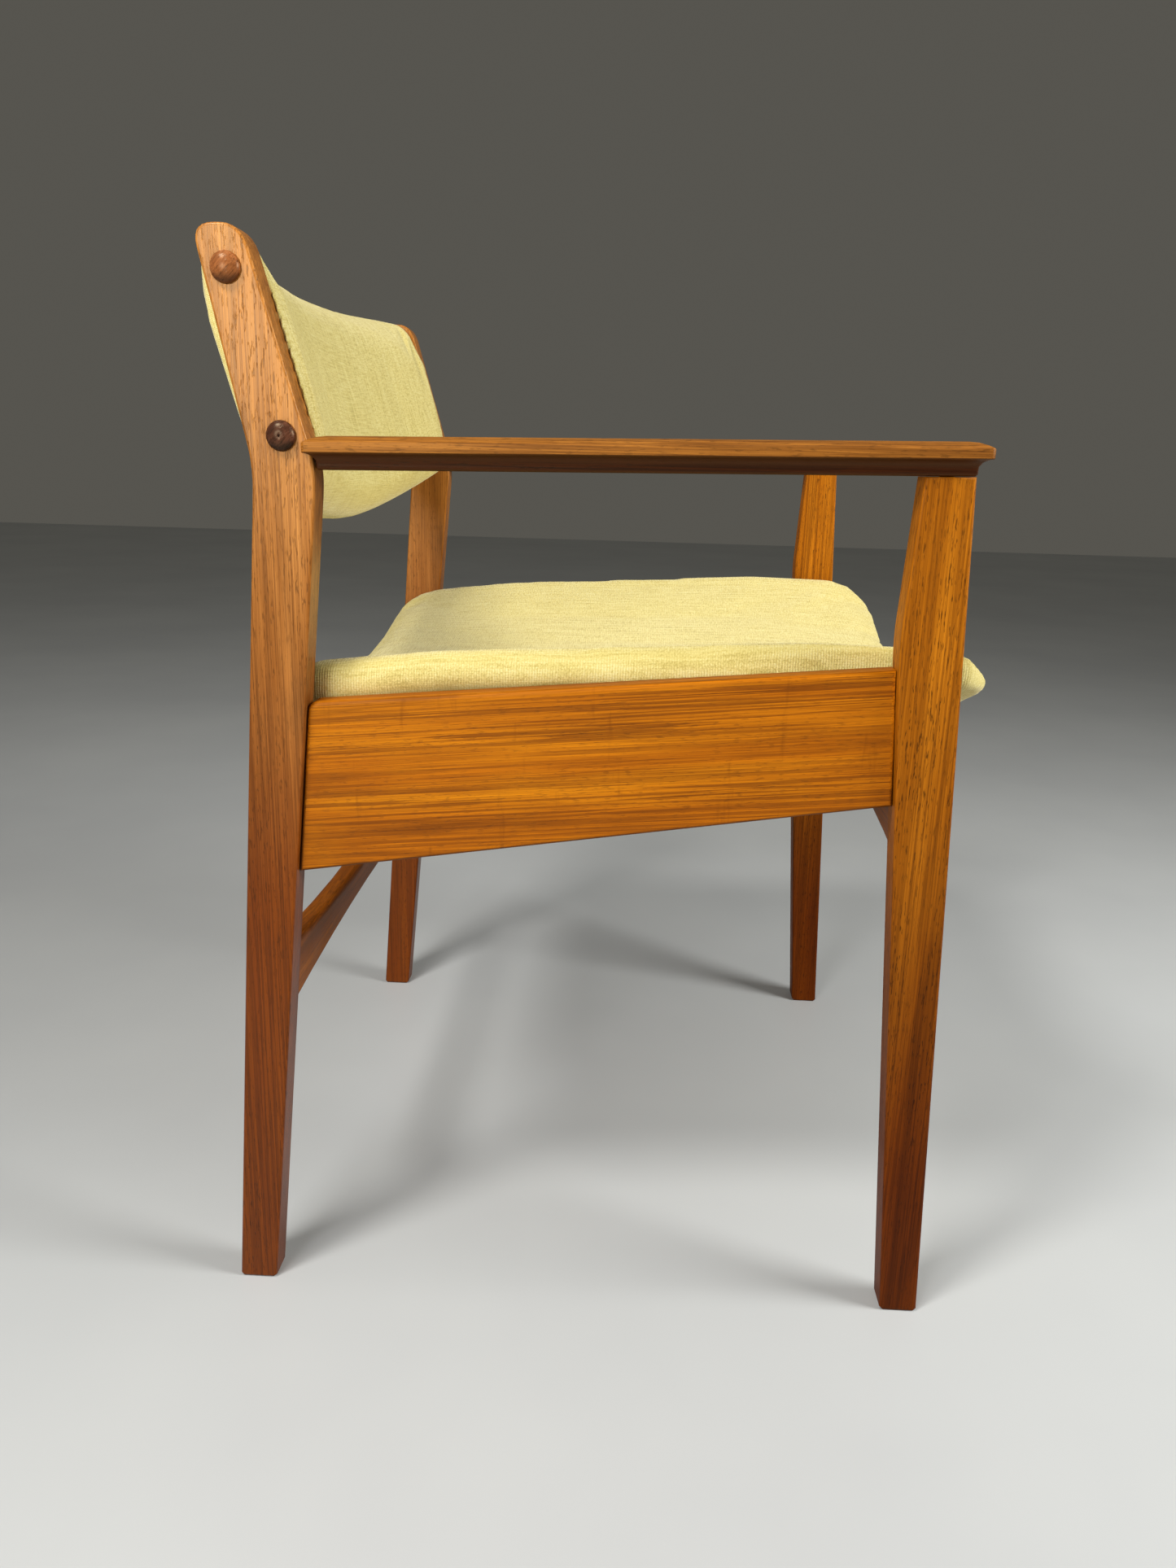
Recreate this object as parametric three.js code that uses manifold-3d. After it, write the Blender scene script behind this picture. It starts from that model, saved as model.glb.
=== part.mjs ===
// A teak armchair with an upholstered seat and back, in millimetres, +Z up.
// The front of the chair faces -Y, and the sitter's left is +X. It is built as two side frames
// (leg, rail, arm, bent rear post), joined by a front rail and a low rear stretcher. The curved
// seat lies between the side rails on cleats, and the curved back hangs between the posts on screws.
// While it is being built, Y is measured from a plane near the middle of the seat. The whole chair
// is centred on its own footprint at the end.
import * as THREE from "three";
import { mergeVertices } from "three/addons/utils/BufferGeometryUtils.js";
import Module from "manifold-3d";

const wasm = await Module();
wasm.setup();

// ---- driving dimensions ----
const GAP = 0.3; // between pieces that touch
const EDGE = 2; // rounding of the long wooden edges

const FRAME_HALF = 284; // centre plane to the outer faces of the legs
const LEG_THICK = 24;
const LEG_INNER = FRAME_HALF - LEG_THICK;
const LEG_MID = FRAME_HALF - LEG_THICK / 2;

const REAR = { footFront: 199.5, footBack: 229, kneeZ: 637, kneeFront: 142.3, kneeBack: 185, topZ: 785 };
const REAR_TOP = { front: 184.5, back: 217, frontRound: 19, backRound: 15 };
const FRONT = { footFront: -317, footBack: -288, kneeZ: 536, kneeBack: -250.5, topFront: -289, topBack: -256 };

const ARM = { rearY: 150.5, frontY: -297.3, topZ: 658.3, topAtY: 142, rise: 0.0173, deep: 22 };
const ARM_HALF = 20; // half the width of the arm
const ARM_LIP = 8; // how far the arm's edge stands out over its keel

const RAIL_OUTER = FRAME_HALF - 6;
const RAIL_THICK = 21;
const RAIL_INNER = RAIL_OUTER - RAIL_THICK;
const RAIL = { topZ: 492, topSlope: -0.09, lowZ: 377, lowSlope: -0.157, rearRound: 7 };

const STRETCHER = { y: 193, thick: 20, endLow: 229, endTop: 283, midLow: 240, midTop: 267 };
const FRONT_RAIL = { y: -281, thick: 20, endLow: 362, endTop: 447, midLow: 386, midTop: 430 };

const SEAT = { half: 256, rearY: 200, frontY: -334, cornerR: 46, deep: 34, board: 9, crestX: 243 };
const BACK = { half: 266.5, flat: 250, y: 154.5, z: 690, rake: Math.atan(0.285), bow: 37.5, deep: 52.6 };
const BACK_EDGE = { top: 102, topRise: 9.5, low: -82.5, lowRise: 29, cornerR: 16 };
const BACK_BOARD = { front: 12, thick: 10, inset: 14 };
const BATTEN = { inner: 236, outer: 256, front: 12, back: 28, low: -42, top: 84 };

const BUTTON = { r: 10, dome: 6, stem: 6, stemLong: 6 };
const BUTTON_SPOTS = { upper: [195.4, 758.6], lower: [164.6, 657.3] };
const SCREW = { r: 2.5, headR: 5, head: 3.5, long: 40 };
const WASHER = { r: 6, hole: 3, thick: 1.2 };
const DOWEL_R = 5;
const THIN_DOWEL_R = 4;
const SMALL_SCREW = { r: 2, headR: 4, head: 2.5, long: 28 };
const CLEAT = { thick: 18, deep: 20, rearY: 138, frontY: -236 };

const FOOT_CHAMFER = 2.5;
const SIDES = { right: -1, left: 1 };

// ---- finishes ----
const finish = (color, roughness, metalness = 0) =>
  new THREE.MeshStandardMaterial({ color, roughness, metalness });
const TEAK = finish(0x8a4f26, 0.42);
const TEAK_LIGHT = finish(0xa8662c, 0.45);
const ROSEWOOD = finish(0x53302a, 0.35);
const BEECH = finish(0xc9a878, 0.7);
const WOOL = finish(0xd9c884, 0.95);
const STEEL = finish(0x9a9a9a, 0.35, 1);

// ---- solids and meshes ----
function solidOf(geometry) {
  const bare = new THREE.BufferGeometry();
  bare.setAttribute("position", geometry.getAttribute("position"));
  if (geometry.index) bare.setIndex(geometry.index);
  const merged = mergeVertices(bare, 1e-4);
  const vertProperties = merged.attributes.position.array;
  const triVerts = new Uint32Array(merged.index.array);
  return new wasm.Manifold(new wasm.Mesh({ numProp: 3, vertProperties, triVerts }));
}

function geometryOf(solid) {
  const mesh = solid.getMesh();
  const geometry = new THREE.BufferGeometry();
  geometry.setAttribute("position", new THREE.BufferAttribute(mesh.vertProperties, 3));
  geometry.setIndex(new THREE.BufferAttribute(mesh.triVerts, 1));
  geometry.computeVertexNormals();
  return geometry;
}

const mix = (a, b, t) => a + (b - a) * t;
const cut = (body, tools) => tools.reduce((left, tool) => left.subtract(tool), body);

// An outline drawn in Y and Z, given thickness along X from x0 to x1, its rim rounded by edge.
const YZ_TO_SPACE = new THREE.Matrix4().makeBasis(
  new THREE.Vector3(0, 1, 0),
  new THREE.Vector3(0, 0, 1),
  new THREE.Vector3(1, 0, 0),
);
function plank(shape, x0, x1, edge = EDGE) {
  const low = Math.min(x0, x1);
  const geometry = new THREE.ExtrudeGeometry(shape, {
    depth: Math.abs(x1 - x0) - 2 * edge,
    bevelEnabled: edge > 0,
    bevelThickness: edge,
    bevelSize: edge,
    bevelOffset: -edge,
    bevelSegments: 3,
    curveSegments: 7,
  });
  geometry.applyMatrix4(YZ_TO_SPACE);
  geometry.translate(low + edge, 0, 0);
  return solidOf(geometry);
}

// A round bar from one point to another.
function bar(from, to, radius, sides = 12) {
  const start = new THREE.Vector3(...from);
  const end = new THREE.Vector3(...to);
  const along = end.clone().sub(start);
  const geometry = new THREE.CylinderGeometry(radius, radius, along.length(), sides);
  const turn = new THREE.Quaternion().setFromUnitVectors(
    new THREE.Vector3(0, 1, 0),
    along.clone().normalize(),
  );
  geometry.applyQuaternion(turn);
  geometry.translate(...start.add(end).multiplyScalar(0.5));
  return solidOf(geometry);
}

// A closed body made of rings of points, from its lower middle out and round to its upper middle.
function ringBody(rings, lowMiddle, topMiddle) {
  const count = rings[0].length;
  const positions = [lowMiddle, ...rings.flat(), topMiddle].flat();
  const faces = [];
  const at = (ring, i) => 1 + ring * count + (i % count);
  const last = 1 + rings.length * count;
  for (let i = 0; i < count; i++) {
    faces.push(0, at(0, i + 1), at(0, i));
    for (let ring = 0; ring + 1 < rings.length; ring++) {
      faces.push(at(ring, i), at(ring, i + 1), at(ring + 1, i + 1));
      faces.push(at(ring, i), at(ring + 1, i + 1), at(ring + 1, i));
    }
    faces.push(last, at(rings.length - 1, i), at(rings.length - 1, i + 1));
  }
  const geometry = new THREE.BufferGeometry();
  geometry.setAttribute("position", new THREE.Float32BufferAttribute(positions, 3));
  geometry.setIndex(faces);
  return solidOf(geometry);
}

// Points round a rectangle with rounded corners, drawn in by inset. steps is the number of
// stretches along the X edges and along the Y edges.
function roundedRing(box, radius, inset, [stepsX, stepsY], cornerSteps = 3) {
  const [x0, y0, x1, y1] = [box[0] + inset, box[1] + inset, box[2] - inset, box[3] - inset];
  const r = Math.max(radius - inset, 1.5);
  const corners = [
    [x1 - r, y0 + r, -Math.PI / 2, stepsY],
    [x1 - r, y1 - r, 0, stepsX],
    [x0 + r, y1 - r, Math.PI / 2, stepsY],
    [x0 + r, y0 + r, Math.PI, stepsX],
  ];
  const points = [];
  corners.forEach(([cx, cy, start], k) => {
    for (let i = 0; i <= cornerSteps; i++) {
      const angle = start + (i / cornerSteps) * (Math.PI / 2);
      points.push([cx + r * Math.cos(angle), cy + r * Math.sin(angle)]);
    }
    const [nx, ny, nextStart] = corners[(k + 1) % 4];
    const from = points[points.length - 1];
    const to = [nx + r * Math.cos(nextStart), ny + r * Math.sin(nextStart)];
    const steps = k % 2 ? stepsX : stepsY;
    for (let i = 1; i < steps; i++) {
      const t = i / steps;
      points.push([from[0] + (to[0] - from[0]) * t, from[1] + (to[1] - from[1]) * t]);
    }
  });
  return points;
}

// How far an edge with an elliptical roll of the given width and depth has dropped, at a distance
// in from the edge.
function roll(distance, width, depth) {
  const u = Math.max(0, 1 - Math.max(distance, 0) / width);
  return depth * (1 - Math.sqrt(1 - u * u));
}

// A slab between two surfaces, low(x, y) and top(x, y), inside a rounded rectangle.
const PLAIN_INSETS = [0, 30];
const LOW_INSETS = [0, 3, 9, 18, 32];
const TOP_INSETS = [0, 1.5, 4, 9, 17, 30];
const SHRINKS = [0.67, 0.33];
function slab(box, radius, steps, low, top, lowInsets = PLAIN_INSETS, topInsets = lowInsets) {
  const middle = [(box[0] + box[2]) / 2, (box[1] + box[3]) / 2];
  const layers = (insets, surface) => {
    const plans = insets.map((inset) => roundedRing(box, radius, inset, steps));
    const inner = plans[plans.length - 1];
    for (const s of SHRINKS)
      plans.push(inner.map(([x, y]) => [mix(middle[0], x, s), mix(middle[1], y, s)]));
    return plans.map((plan) => plan.map(([x, y]) => [x, y, surface(x, y)]));
  };
  const rings = [...layers(lowInsets, low).reverse(), ...layers(topInsets, top)];
  return ringBody(rings, [...middle, low(...middle)], [...middle, top(...middle)]);
}

// ---- the outlines of the legs ----
const rearFrontY = (z) =>
  z < REAR.kneeZ
    ? mix(REAR.footFront, REAR.kneeFront, z / REAR.kneeZ)
    : mix(REAR.kneeFront, REAR_TOP.front, (z - REAR.kneeZ) / (REAR.topZ - REAR.kneeZ));
const rearBackY = (z) =>
  z < REAR.kneeZ
    ? mix(REAR.footBack, REAR.kneeBack, z / REAR.kneeZ)
    : mix(REAR.kneeBack, REAR_TOP.back, (z - REAR.kneeZ) / (REAR.topZ - REAR.kneeZ));
const armTopZ = (y) => ARM.topZ + (ARM.topAtY - y) * ARM.rise;
const armLowZ = (y) => armTopZ(y) - ARM.deep;
const frontLegTop = armLowZ(FRONT.topFront) - GAP;
const frontFrontY = (z) => mix(FRONT.footFront, FRONT.topFront, z / frontLegTop);
const frontBackY = (z) =>
  z < FRONT.kneeZ
    ? mix(FRONT.footBack, FRONT.kneeBack, z / FRONT.kneeZ)
    : mix(FRONT.kneeBack, FRONT.topBack, (z - FRONT.kneeZ) / (frontLegTop - FRONT.kneeZ));

// The bent rear post: straight to the knee at arm height, then raked back, with a rounded top.
// grow widens the whole outline, for the notches that receive it.
function rearLegShape(grow = 0) {
  const shape = new THREE.Shape();
  const bend = 16; // height over which the knee is eased
  const { kneeZ, topZ } = REAR;
  const { frontRound, backRound } = REAR_TOP;
  shape.moveTo(REAR.footFront - grow + FOOT_CHAMFER, 0);
  shape.lineTo(REAR.footBack + grow - FOOT_CHAMFER, 0);
  shape.lineTo(rearBackY(FOOT_CHAMFER) + grow, FOOT_CHAMFER);
  shape.lineTo(rearBackY(kneeZ - bend) + grow, kneeZ - bend);
  shape.quadraticCurveTo(rearBackY(kneeZ) + grow, kneeZ, rearBackY(kneeZ + bend) + grow, kneeZ + bend);
  shape.lineTo(rearBackY(topZ - backRound) + grow, topZ - backRound);
  shape.quadraticCurveTo(REAR_TOP.back + grow, topZ, REAR_TOP.back - backRound, topZ + grow);
  shape.lineTo(REAR_TOP.front + frontRound * 0.7, topZ + grow);
  shape.quadraticCurveTo(REAR_TOP.front - 1 - grow, topZ, rearFrontY(topZ - frontRound) - grow, topZ - frontRound);
  shape.lineTo(rearFrontY(kneeZ + bend) - grow, kneeZ + bend);
  shape.quadraticCurveTo(rearFrontY(kneeZ) - grow, kneeZ, rearFrontY(kneeZ - bend) - grow, kneeZ - bend);
  shape.lineTo(rearFrontY(FOOT_CHAMFER) - grow, FOOT_CHAMFER);
  return shape;
}

// The front leg: widest at the knee, tapering down to the foot and up to the arm.
function frontLegShape() {
  const shape = new THREE.Shape();
  const bend = 14;
  const { kneeZ } = FRONT;
  shape.moveTo(FRONT.footFront + FOOT_CHAMFER, 0);
  shape.lineTo(FRONT.footBack - FOOT_CHAMFER, 0);
  shape.lineTo(frontBackY(FOOT_CHAMFER), FOOT_CHAMFER);
  shape.lineTo(frontBackY(kneeZ - bend), kneeZ - bend);
  shape.quadraticCurveTo(frontBackY(kneeZ), kneeZ, frontBackY(kneeZ + bend), kneeZ + bend);
  shape.lineTo(FRONT.topBack, armLowZ(FRONT.topBack) - GAP);
  shape.lineTo(FRONT.topFront, frontLegTop);
  shape.lineTo(frontFrontY(FOOT_CHAMFER), FOOT_CHAMFER);
  return shape;
}

// ---- side rails ----
const railTopZ = (y) => RAIL.topZ + y * RAIL.topSlope;
const railLowZ = (y) => RAIL.lowZ + y * RAIL.lowSlope;

function sideRailShape() {
  const shape = new THREE.Shape();
  const { rearRound } = RAIL;
  const rearEnd = (z) => rearFrontY(z) - GAP;
  const frontEnd = (z) => frontBackY(z) + GAP;
  // the top and bottom edges are followed to where they meet the legs
  const meet = (edge, end) => {
    let y = 0;
    for (let i = 0; i < 20; i++) y = end(edge(y));
    return y;
  };
  const rearTop = meet(railTopZ, rearEnd);
  const rearLow = meet(railLowZ, rearEnd);
  const frontTop = meet(railTopZ, frontEnd);
  const frontLow = meet(railLowZ, frontEnd);
  shape.moveTo(frontLow, railLowZ(frontLow));
  shape.lineTo(rearLow, railLowZ(rearLow));
  shape.lineTo(rearEnd(railTopZ(rearTop) - rearRound), railTopZ(rearTop) - rearRound);
  shape.quadraticCurveTo(rearTop, railTopZ(rearTop), rearTop - rearRound, railTopZ(rearTop - rearRound));
  shape.lineTo(frontTop, railTopZ(frontTop));
  return shape;
}

// ---- dowels: where each one lies, so that both pieces can be bored for it ----
// Each is {name, from, to, r}. Bores are a little larger and longer.
const dowels = [];
function addDowel(name, from, to, r) {
  dowels.push({ name, from, to, r });
}
const RAIL_DOWEL_DEPTH = 19;
const CROSS_DOWEL_IN_LEG = 15;
const CROSS_DOWEL_IN_RAIL = 22;
const RAIL_DOWEL_SPOTS = { upper: 0.76, lower: 0.26 };
for (const [side, s] of Object.entries(SIDES)) {
  const x = s * (RAIL_OUTER - RAIL_THICK / 2);
  for (const [level, t] of Object.entries(RAIL_DOWEL_SPOTS)) {
    const rearZ = mix(railLowZ(150), railTopZ(150), t);
    const frontZ = mix(railLowZ(-255), railTopZ(-255), t);
    const rearY = rearFrontY(rearZ);
    const frontY = frontBackY(frontZ);
    const d = RAIL_DOWEL_DEPTH;
    addDowel(`dowel_rail_rear_${level}_${side}`, [x, rearY - d, rearZ], [x, rearY + d, rearZ], DOWEL_R);
    addDowel(`dowel_rail_front_${level}_${side}`, [x, frontY + d, frontZ], [x, frontY - d, frontZ], DOWEL_R);
  }
  const crossDowel = (name, y, z) => {
    const inRail = s * (LEG_INNER - CROSS_DOWEL_IN_RAIL);
    const inLeg = s * (LEG_INNER + CROSS_DOWEL_IN_LEG);
    addDowel(name, [inRail, y, z], [inLeg, y, z], THIN_DOWEL_R);
  };
  crossDowel(`dowel_stretcher_upper_${side}`, STRETCHER.y, STRETCHER.endTop - 15);
  crossDowel(`dowel_stretcher_lower_${side}`, STRETCHER.y, STRETCHER.endLow + 13);
  crossDowel(`dowel_front_rail_upper_${side}`, FRONT_RAIL.y, FRONT_RAIL.endTop - 32);
  crossDowel(`dowel_front_rail_lower_${side}`, FRONT_RAIL.y, FRONT_RAIL.endLow + 18);
  const armX = s * LEG_MID;
  const legTopY = (FRONT.topFront + FRONT.topBack) / 2;
  const legTopZ = armLowZ(legTopY);
  addDowel(`dowel_arm_front_${side}`, [armX, legTopY, legTopZ - 28], [armX, legTopY, legTopZ + 13], DOWEL_R);
  const postZ = armLowZ(ARM.topAtY) + 8.5;
  const postY = rearFrontY(postZ);
  addDowel(`dowel_arm_rear_${side}`, [armX, postY - 26, postZ], [armX, postY + 15, postZ], THIN_DOWEL_R);
}
const BORE_END = 1; // a bore runs this far past the end of its dowel
const bores = dowels.map(({ from, to, r }) => {
  const start = new THREE.Vector3(...from);
  const end = new THREE.Vector3(...to);
  const extra = end.clone().sub(start).setLength(BORE_END);
  const first = start.sub(extra).toArray();
  const second = end.add(extra).toArray();
  return { solid: bar(first, second, r + GAP), side: Math.sign(from[0]) };
});
const boresOn = (s) => bores.filter((bore) => bore.side === s).map((bore) => bore.solid);

// ---- back screws, their washers and the domed buttons that cover them ----
const COUNTERBORE = 12.5; // depth of the recess in the post's outer face
function backFixings(s) {
  const made = {};
  const recesses = [];
  const floorX = s * (FRAME_HALF - COUNTERBORE);
  for (const [level, [y, z]] of Object.entries(BUTTON_SPOTS)) {
    const at = (x) => [x, y, z];
    const washerTop = floorX + s * (GAP + WASHER.thick);
    const headFrom = washerTop + s * GAP;
    const headTo = headFrom + s * SCREW.head;
    const tip = headTo - s * SCREW.long;
    const washer = bar(at(floorX + s * GAP), at(washerTop), WASHER.r, 16);
    made[`back_washer_${level}`] = washer.subtract(bar(at(floorX - s), at(washerTop + s), WASHER.hole, 12));
    const head = bar(at(headFrom), at(headTo), SCREW.headR, 12);
    made[`back_screw_${level}`] = head.add(bar(at(headTo - s * 0.5), at(tip), SCREW.r, 10));
    recesses.push(bar(at(floorX), at(s * (FRAME_HALF + 1)), WASHER.r + GAP, 16));
    recesses.push(bar(at(floorX + s), at(tip - s), SCREW.r + GAP, 10));
    made[`button_${level}`] = buttonSolid(s, y, z);
    if (level === "lower") made.button_lower = made.button_lower.subtract(dimple(s, y, z));
  }
  return { made, recesses };
}

// A domed wooden plug: a round stem in the recess and a cap that stands out from the post.
function buttonSolid(s, y, z) {
  const { r, dome, stem, stemLong } = BUTTON;
  const rim = 1.2;
  const profile = [
    new THREE.Vector2(0, -stemLong),
    new THREE.Vector2(stem, -stemLong),
    new THREE.Vector2(stem, GAP),
    new THREE.Vector2(r - 0.6, GAP),
    new THREE.Vector2(r, rim),
  ];
  const steps = 4;
  for (let i = 1; i <= steps; i++) {
    const angle = (i / steps) * (Math.PI / 2);
    const radius = i === steps ? 0 : r * Math.cos(angle);
    profile.push(new THREE.Vector2(radius, rim + (dome - rim) * Math.sin(angle)));
  }
  const geometry = new THREE.LatheGeometry(profile, 18);
  geometry.rotateZ(-s * (Math.PI / 2));
  geometry.translate(s * FRAME_HALF, y, z);
  return solidOf(geometry);
}

// The small turning mark in the middle of a lower button.
function dimple(s, y, z) {
  const tip = s * (FRAME_HALF + BUTTON.dome);
  return bar([tip - s * 1.6, y, z], [tip + s, y, z], 0.9, 10);
}

function block(x0, x1, y0, y1, z0, z1) {
  const box = new THREE.BoxGeometry(x1 - x0, y1 - y0, z1 - z0);
  box.translate((x0 + x1) / 2, (y0 + y1) / 2, (z0 + z1) / 2);
  return solidOf(box);
}

// ---- armrest: a flat rail with a crowned top, a lip all round and a cove down to its keel ----
const ARM_INNER_END = 133; // the inner side stops here, short of the back cushion
function armrest(s) {
  const x0 = LEG_MID - ARM_HALF;
  const x1 = LEG_MID + ARM_HALF;
  const box = [x0, ARM.frontY, x1, ARM.rearY];
  const cornerR = 3;
  const bandTop = 4.2;
  const bandLow = 11.2;
  const coveLow = 19;
  // each step of the moulding: how far in from the lip, and how far below the crown
  const moulding = [
    [ARM_LIP + 1.2, ARM.deep],
    [ARM_LIP, ARM.deep - 1.2],
    [ARM_LIP, coveLow],
  ];
  const coveSteps = 4;
  for (let i = 1; i <= coveSteps; i++) {
    const angle = (i / coveSteps) * (Math.PI / 2);
    const inset = ARM_LIP * Math.cos(angle) + 0.4;
    moulding.push([inset, bandLow + (coveLow - bandLow) * (1 - Math.sin(angle))]);
  }
  moulding.push([0, bandLow - 0.8], [0, bandTop + 0.8], [0.9, bandTop], [4, 2.6], [9, 0.9], [14, 0.2]);
  const place = ([x, y], drop) => [x, y, armTopZ(y) - drop];
  const rings = moulding.map(([inset, drop]) =>
    roundedRing(box, cornerR, inset, [1, 1], 2).map((p) => place(p, drop)),
  );
  const middle = [LEG_MID, (ARM.frontY + ARM.rearY) / 2];
  let body = ringBody(rings, place(middle, ARM.deep), place(middle, 0.1));
  body = body.subtract(block(x0 - 1, LEG_INNER + GAP, ARM_INNER_END, ARM.rearY + 1, 600, 700));
  if (s < 0) body = body.mirror([1, 0, 0]);
  const x = s * LEG_MID;
  const half = LEG_THICK / 2 + GAP;
  const notch = plank(rearLegShape(GAP), x - half, x + half, 0);
  return cut(body, [notch, ...boresOn(s)]);
}

// ---- cross rails: slimmer in the middle than at the ends ----
function crossRail(rail) {
  const half = LEG_INNER - GAP;
  const shape = new THREE.Shape();
  shape.moveTo(-half, rail.endLow);
  shape.quadraticCurveTo(0, 2 * rail.midLow - rail.endLow, half, rail.endLow);
  shape.lineTo(half, rail.endTop);
  shape.quadraticCurveTo(0, 2 * rail.midTop - rail.endTop, -half, rail.endTop);
  const round = 6;
  const geometry = new THREE.ExtrudeGeometry(shape, {
    depth: rail.thick - 2 * round,
    bevelEnabled: true,
    bevelThickness: round,
    bevelSize: round,
    bevelOffset: -round,
    bevelSegments: 3,
    curveSegments: 8,
  });
  // drawn in X and Z, thickness along -Y
  geometry.rotateX(Math.PI / 2);
  geometry.translate(0, rail.y + rail.thick / 2 - round, 0);
  // the rounding is for the long edges only, so the ends are made longer and cut square
  const stretch = (half + round + 2) / half;
  geometry.scale(stretch, 1, 1);
  const body = solidOf(geometry);
  const beyond = (x0, x1) => block(x0, x1, rail.y - 40, rail.y + 40, 0, 800);
  const ends = [beyond(half, half + 60), beyond(-half - 60, -half)];
  return cut(body, [...ends, ...bores.map((bore) => bore.solid)]);
}

// ---- seat: a board bent side to side, with a foam pad in a wool cover ----
function seatCrest(y) {
  const base = 513.5 + (32 - y) * 0.0535;
  const rearDrop = y > 90 ? 16 * ((y - 90) / 110) ** 2 : 0;
  const frontDrop = y < -222 ? 19 * ((-222 - y) / 112) ** 2 : 0;
  return base - rearDrop - frontDrop;
}
function seatCentre(y) {
  const rearDrop = y > 130 ? 6 * ((y - 130) / 70) ** 2 : 0;
  const frontDrop = y < -150 ? 7 * ((-150 - y) / 184) ** 2 : 0;
  return 465.5 - 0.018 * y - rearDrop - frontDrop;
}
const seatSurface = (x, y) =>
  seatCentre(y) + (seatCrest(y) - seatCentre(y)) * (x / SEAT.crestX) ** 2;
const seatBox = [-SEAT.half, SEAT.frontY, SEAT.half, SEAT.rearY];
const sideGap = (x) => SEAT.half - Math.abs(x);
const frontGap = (y) => y - SEAT.frontY;
const rearGap = (y) => SEAT.rearY - y;
const seatTop = (x, y) =>
  seatSurface(x, y) - roll(sideGap(x), 16, 13) - roll(frontGap(y), 56, 11.5) - roll(rearGap(y), 16, 12);
// the pad grows thinner towards the front, ahead of the board
const thinning = (y) => 10 * Math.max(0, 1 - frontGap(y) / 140) ** 2;
const seatUnder = (x, y) => {
  const rolls = roll(sideGap(x), 6, 4) + roll(frontGap(y), 46, 11.5) + roll(rearGap(y), 8, 6);
  return seatSurface(x, y) - SEAT.deep + thinning(y) + rolls;
};
const SEAT_STEPS = [6, 5];
const BOARD_INSET = 9;
const BOARD_FRONT_INSET = 60;
const boardBox = [
  -SEAT.half + BOARD_INSET,
  SEAT.frontY + BOARD_FRONT_INSET,
  SEAT.half - BOARD_INSET,
  SEAT.rearY - BOARD_INSET,
];
const boardUnder = (x, y) => seatSurface(x, y) - SEAT.deep;
const boardTop = (x, y) => boardUnder(x, y) + SEAT.board;
const boardRadius = SEAT.cornerR - BOARD_INSET;

const seatBoard = slab(boardBox, boardRadius, SEAT_STEPS, boardUnder, boardTop);
const seatWhole = slab(seatBox, SEAT.cornerR, SEAT_STEPS, seatUnder, seatTop, LOW_INSETS, TOP_INSETS);
function seatPad() {
  const roomBox = [boardBox[0] - GAP, boardBox[1] - GAP, boardBox[2] + GAP, boardBox[3] + GAP];
  const below = (x, y) => boardUnder(x, y) - 15;
  const above = (x, y) => boardTop(x, y) + GAP;
  return seatWhole.subtract(slab(roomBox, boardRadius + GAP, SEAT_STEPS, below, above));
}

// ---- seat cleats, screwed to the inner faces of the side rails, cut to the seat's curve ----
const CLEAT_OUTER = RAIL_INNER - GAP;
const CLEAT_INNER = CLEAT_OUTER - CLEAT.thick;
function cleat(s) {
  const { rearY, frontY, deep } = CLEAT;
  const stations = [frontY, mix(frontY, rearY, 0.6), rearY];
  const lowEdge = stations.map((y) => new THREE.Vector2(y, boardUnder(CLEAT_INNER, y) - deep));
  const topEdge = stations.map((y) => new THREE.Vector2(y, boardUnder(CLEAT_OUTER, y) - 1)).reverse();
  const strip = plank(new THREE.Shape([...lowEdge, ...topEdge]), s * CLEAT_INNER, s * CLEAT_OUTER, 0);
  const lowered = (solid) => solid.translate([0, 0, -2 * GAP]);
  return cut(strip, [lowered(seatBoard), lowered(seatWhole)]);
}

// A countersunk screw from its head's face to its tip, and the hole that it needs.
function smallScrew(headAt, tipAt) {
  const head = new THREE.Vector3(...headAt);
  const tip = new THREE.Vector3(...tipAt);
  const along = tip.clone().sub(head).normalize();
  const neck = head.clone().addScaledVector(along, SMALL_SCREW.head);
  const out = head.clone().addScaledVector(along, -12);
  const past = tip.clone().addScaledVector(along, 1);
  const shaftFrom = neck.clone().addScaledVector(along, -0.5);
  const screw = bar(headAt, neck.toArray(), SMALL_SCREW.headR, 10).add(
    bar(shaftFrom.toArray(), tipAt, SMALL_SCREW.r, 8),
  );
  const holeFloor = neck.clone().addScaledVector(along, GAP).toArray();
  const hole = bar(out.toArray(), holeFloor, SMALL_SCREW.headR + GAP, 10).add(
    bar(headAt, past.toArray(), SMALL_SCREW.r + GAP, 8),
  );
  return { screw, hole };
}
const CLEAT_SCREW_Y = { front: -190, rear: 95 };
const SEAT_SCREW_Y = { front: -215, rear: 60 };
function seatFixings(s) {
  const made = {};
  const holes = [];
  for (const [place, y] of Object.entries(CLEAT_SCREW_Y)) {
    const z = boardUnder(CLEAT_INNER, y) - CLEAT.deep / 2;
    const headX = CLEAT_INNER + 0.5;
    const { screw, hole } = smallScrew([s * headX, y, z], [s * (headX + SMALL_SCREW.long), y, z]);
    made[`cleat_screw_${place}`] = screw;
    holes.push(hole);
  }
  for (const [place, y] of Object.entries(SEAT_SCREW_Y)) {
    const x = s * (CLEAT_INNER + CLEAT.thick / 2);
    const z = boardUnder(CLEAT_INNER, y) - CLEAT.deep + 0.5;
    const { screw, hole } = smallScrew([x, y, z], [x, y, z + SMALL_SCREW.long]);
    made[`seat_screw_${place}`] = screw;
    holes.push(hole);
  }
  return { made, holes };
}

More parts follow.
